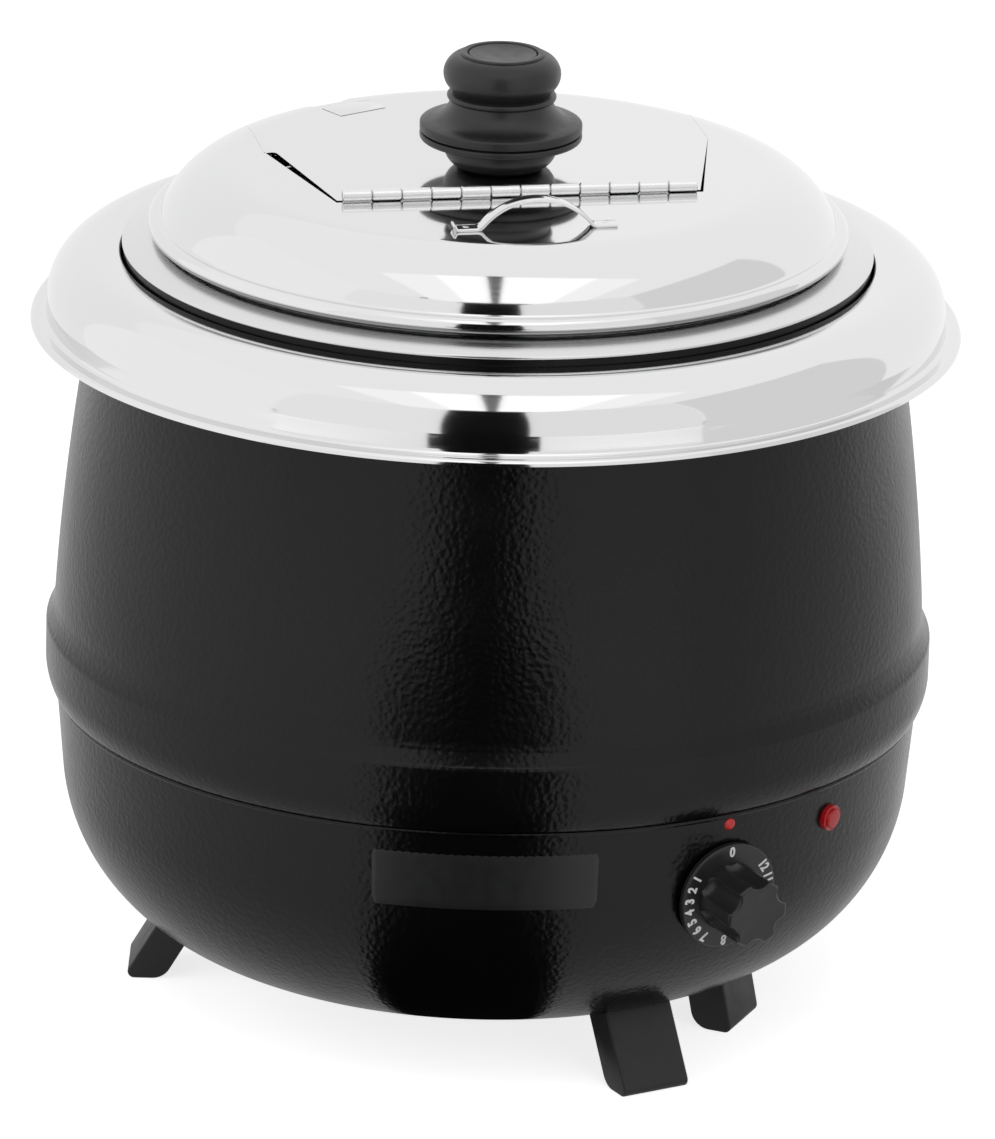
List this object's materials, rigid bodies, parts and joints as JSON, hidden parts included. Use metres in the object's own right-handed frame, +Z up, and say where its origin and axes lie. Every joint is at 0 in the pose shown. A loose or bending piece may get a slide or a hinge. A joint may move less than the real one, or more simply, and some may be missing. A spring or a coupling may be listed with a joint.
{
  "type": "soup kettle",
  "caption": "Round wet-heat soup kettle with a black painted body on moulded legs, a loose steel collar, an inset pot, a hinged lid with a turned knob, and a front control dial.",
  "frame": {"origin": "on the floor under the kettle's axis", "axes": "+Z up along the kettle's axis, -Y towards the front, +X to the right seen from the front"},
  "size_m": [0.345, 0.345, 0.3635],
  "materials": {
    "hammer_black": "hammered powder coat, semi-gloss",
    "well_black": "smooth black enamel",
    "plate_black": "plain black paint",
    "wool": "pressed mineral wool",
    "dark_steel": "heat-darkened steel",
    "zinc_steel": "zinc-plated",
    "phenolic_black": "satin phenolic",
    "leg_black": "satin moulded plastic",
    "copper": "plain copper",
    "ceramic_cream": "glazed ceramic",
    "brass": "plain brass",
    "lamp_red": "clear red lens",
    "index_red": "glossy red",
    "polished_steel": "polished stainless steel",
    "brushed_steel": "brushed stainless steel",
    "print_white": "white printed numbers",
    "notice_charcoal": "bare satin plate"
  },
  "bodies": {
    "kettle": {"upper_shell": "hammer_black", "lower_bowl": "hammer_black", "water_well": "well_black", "insulation_sleeve": "wool", "heating_element": "dark_steel", "heater_clamp": "dark_steel", "heat_shield": "zinc_steel", "thermal_cutout": "phenolic_black", "cutout_screws": "zinc_steel", "control_switch": "phenolic_black", "control_nut": "zinc_steel", "sensor_bulb": "copper", "sensor_clip": "zinc_steel", "terminal_block": "ceramic_cream", "earth_stud": "brass", "lamp_lens": "lamp_red", "lamp_body": "phenolic_black", "index_dot": "index_red", "cord_gland": "phenolic_black", "gland_nut": "phenolic_black", "base_plate": "plate_black", "base_screws": "zinc_steel", "tie_rod": "zinc_steel", "tie_nuts": "zinc_steel", "leg_front": "leg_black", "leg_side": "leg_black", "leg_rear": "leg_black", "leg_left": "leg_black", "leg_screws": "zinc_steel"},
    "collar": {"collar_ring": "polished_steel"},
    "pot": {"inset_pot": "brushed_steel"},
    "lid": {"lid_front": "polished_steel", "hinge_leaf_front": "polished_steel", "hinge_pin": "zinc_steel", "lid_strap": "polished_steel"},
    "flap": {"lid_flap": "polished_steel", "hinge_leaf_rear": "polished_steel", "knob_foot": "phenolic_black", "knob_grip": "phenolic_black", "knob_cap": "phenolic_black", "knob_screw": "zinc_steel", "knob_washer": "zinc_steel"},
    "dial": {"control_dial": "phenolic_black", "dial_shaft": "zinc_steel"}
  },
  "joints": [
    {"name": "collar_lift", "type": "slide", "parent": "kettle", "child": "collar", "axis": [0, 0, 1], "range_m": [0, 0.12]},
    {"name": "pot_lift", "type": "slide", "parent": "kettle", "child": "pot", "axis": [0, 0, 1], "range_m": [0, 0.26]},
    {"name": "lid_lift", "type": "slide", "parent": "pot", "child": "lid", "axis": [0, 0, 1], "range_m": [0, 0.15]},
    {"name": "flap_hinge", "type": "hinge", "parent": "lid", "child": "flap", "pos_m": [0.00764, -0.03896, 0.3222], "axis": [0.9813, 0.1925, 0], "range_deg": [0, 100]},
    {"name": "dial_turn", "type": "hinge", "parent": "kettle", "child": "dial", "pos_m": [0.08826, -0.13185, 0.086], "axis": [0.5549, -0.829, -0.0698], "range_deg": [-303, 0]}
  ]
}
